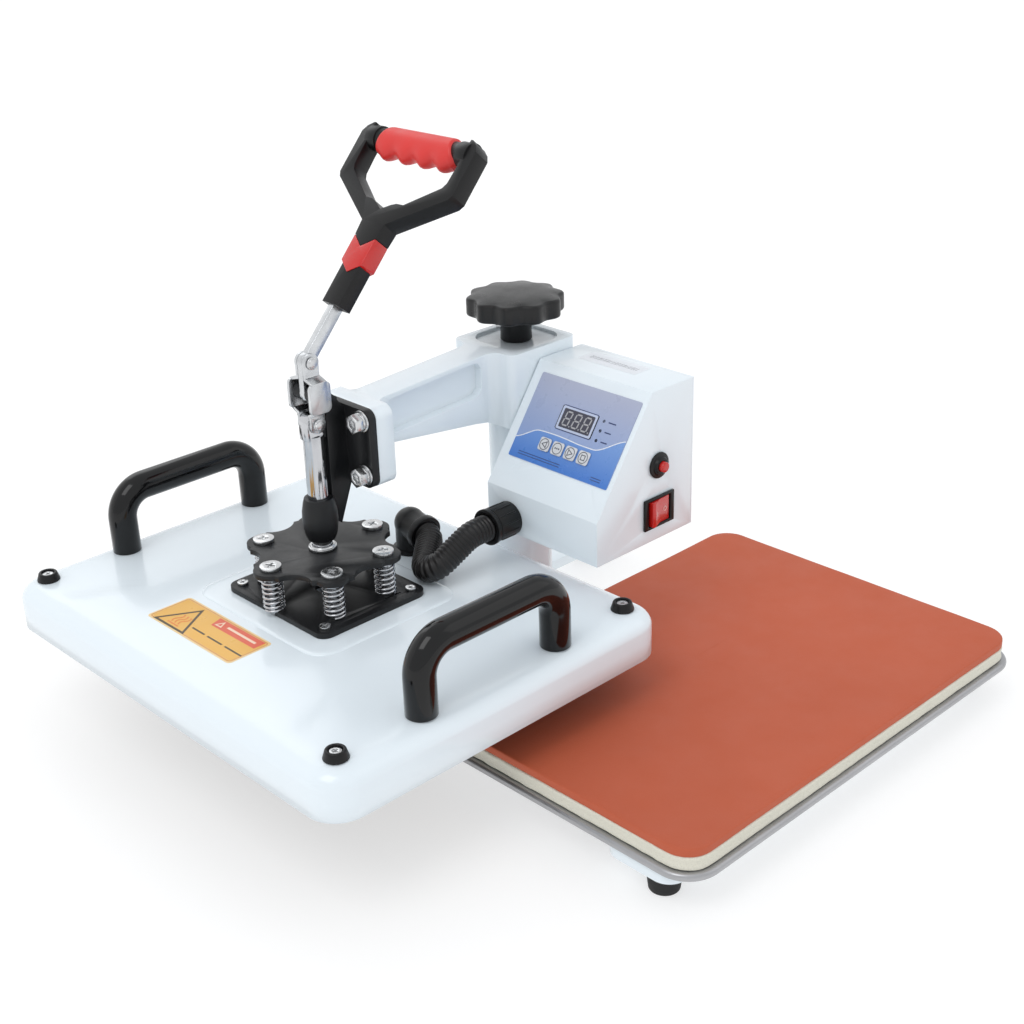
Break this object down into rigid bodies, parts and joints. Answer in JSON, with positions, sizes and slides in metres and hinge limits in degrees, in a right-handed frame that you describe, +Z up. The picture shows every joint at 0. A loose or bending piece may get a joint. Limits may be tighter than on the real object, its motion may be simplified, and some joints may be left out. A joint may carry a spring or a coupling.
{
  "type": "swing-away flat heat press",
  "caption": "Swing-away flat heat press: padded lower platen, column with swinging arm, toggle clamp with lever, heated head, control box.",
  "frame": {"origin": "centre of the footprint of the whole machine at rest, on the floor under the rubber feet", "axes": "+Z up, +Y to the back (the column side), +X to the machine's right; at rest the arm points to -X"},
  "size_m": [0.547, 0.541, 0.4313],
  "materials": {
    "white_paint": "smooth off-white powder coat",
    "black_paint": "satin black powder coat",
    "zinc_steel": "bright zinc plate",
    "chrome_wire": "polished spring wire",
    "tray_aluminium": "satin cast aluminium",
    "plate_aluminium": "dark non-stick coat",
    "bearing_brass": "turned",
    "foot_rubber": "matte",
    "silicone": "matte with a fine weave",
    "foam": "open cell foam",
    "fibre": "mineral fibre board",
    "black_plastic": "fine spark grain",
    "red_plastic": "smooth",
    "white_key": "smooth",
    "panel_film": "printed film",
    "label_film": "printed film",
    "board": "solder resist"
  },
  "bodies": {
    "stand": {"rubber_feet": "foot_rubber", "foot_screws": "zinc_steel", "base_frame": "white_paint", "lower_platen": "tray_aluminium", "base_bolts": "zinc_steel", "foam_pad": "foam", "silicone_pad": "silicone", "column": "white_paint", "pivot_shaft": "zinc_steel"},
    "lift": {"lift_bush": "bearing_brass"},
    "knob": {"knob_spindle": "zinc_steel", "pressure_knob": "black_plastic", "knob_set_screw": "zinc_steel"},
    "swing_arm": {"arm": "white_paint", "clamp_bracket": "black_paint", "bracket_bolts": "zinc_steel", "pivot_pin": "zinc_steel", "control_box": "white_paint", "box_back_cover": "white_paint", "cover_screws": "zinc_steel", "box_bolts": "zinc_steel", "control_panel": "panel_film", "display_module": "black_plastic", "led_lamps": "black_plastic", "circuit_board": "board", "breaker_body": "black_plastic", "switch_bezel": "black_plastic", "power_gland": "black_plastic", "conduit_gland_box": "black_plastic", "conduit": "black_plastic"},
    "hand_lever": {"lever": "zinc_steel", "lever_pin": "zinc_steel", "grip_frame": "black_plastic", "grip_sleeve": "red_plastic", "grip_collar": "red_plastic"},
    "toggle_links": {"links": "zinc_steel", "link_rivets": "zinc_steel"},
    "ram": {"plunger": "zinc_steel", "clevis_pin": "zinc_steel", "plunger_collar": "zinc_steel", "spring_plate": "black_paint", "springs": "chrome_wire"},
    "head": {"mount_plate": "black_paint", "spring_screws": "zinc_steel", "head_cover": "white_paint", "insulation": "fibre", "heating_plate": "plate_aluminium", "handle_left": "black_paint", "handle_right": "black_paint", "handle_bolts": "zinc_steel", "corner_cups": "black_plastic", "cap_screws": "zinc_steel", "conduit_gland_head": "black_plastic", "warning_label": "label_film"},
    "rocker": {"switch_rocker": "red_plastic"},
    "reset_button": {"breaker_button": "red_plastic"},
    "key_1": {"key_left": "white_key"},
    "key_2": {"key_set": "white_key"},
    "key_3": {"key_right": "white_key"},
    "key_4": {"key_stop": "white_key"}
  },
  "joints": [
    {"name": "height_adjust", "type": "slide", "parent": "stand", "child": "lift", "axis": [0, 0, 1], "range_m": [0, 0.012]},
    {"name": "knob_turn", "type": "hinge", "parent": "lift", "child": "knob", "pos_m": [0.0785, 0.0745, 0.2675], "axis": [0, 0, 1], "range_deg": [0, 1440]},
    {"name": "arm_swing", "type": "hinge", "parent": "lift", "child": "swing_arm", "pos_m": [0.0785, 0.0745, 0.2225], "axis": [0, 0, 1], "range_deg": [-60, 90]},
    {"name": "lever_swing", "type": "hinge", "parent": "swing_arm", "child": "hand_lever", "pos_m": [-0.1215, 0.0745, 0.27], "axis": [0, -1, 0], "range_deg": [0, 120]},
    {"name": "link_swing", "type": "hinge", "parent": "hand_lever", "child": "toggle_links", "pos_m": [-0.1215, 0.0745, 0.2925], "axis": [0, -1, 0], "range_deg": [-94.5, 0]},
    {"name": "press", "type": "slide", "parent": "swing_arm", "child": "ram", "axis": [0, 0, -1], "range_m": [0, 0.0294], "deforming": ["conduit"]},
    {"name": "head_float", "type": "slide", "parent": "ram", "child": "head", "axis": [0, 0, 1], "range_m": [0, 0.003], "stiffness_N_per_m": 20000, "springref_m": -0.003, "deforming": ["springs"]},
    {"name": "switch_rock", "type": "hinge", "parent": "swing_arm", "child": "rocker", "pos_m": [0.0775, -0.072, 0.1578], "axis": [0, 0, -1], "range_deg": [0, 14]},
    {"name": "reset_press", "type": "slide", "parent": "swing_arm", "child": "reset_button", "axis": [0, 1, 0], "range_m": [0, 0.002], "stiffness_N_per_m": 400, "springref_m": -0.001},
    {"name": "key_1_press", "type": "slide", "parent": "swing_arm", "child": "key_1", "axis": [0.8151, 0, -0.5794], "range_m": [0, 0.0005], "stiffness_N_per_m": 400, "springref_m": -0.0005},
    {"name": "key_2_press", "type": "slide", "parent": "swing_arm", "child": "key_2", "axis": [0.8151, 0, -0.5794], "range_m": [0, 0.0005], "stiffness_N_per_m": 400, "springref_m": -0.0005},
    {"name": "key_3_press", "type": "slide", "parent": "swing_arm", "child": "key_3", "axis": [0.8151, 0, -0.5794], "range_m": [0, 0.0005], "stiffness_N_per_m": 400, "springref_m": -0.0005},
    {"name": "key_4_press", "type": "slide", "parent": "swing_arm", "child": "key_4", "axis": [0.8151, 0, -0.5794], "range_m": [0, 0.0005], "stiffness_N_per_m": 400, "springref_m": -0.0005}
  ],
  "couplings": [
    {"joint": "knob_turn", "follows": "height_adjust", "rad_per_m": 2094.4},
    {"joint": "link_swing", "follows": "lever_swing", "ratio": -0.7862},
    {"joint": "press", "follows": "lever_swing", "m_per_rad": 0.01399}
  ]
}
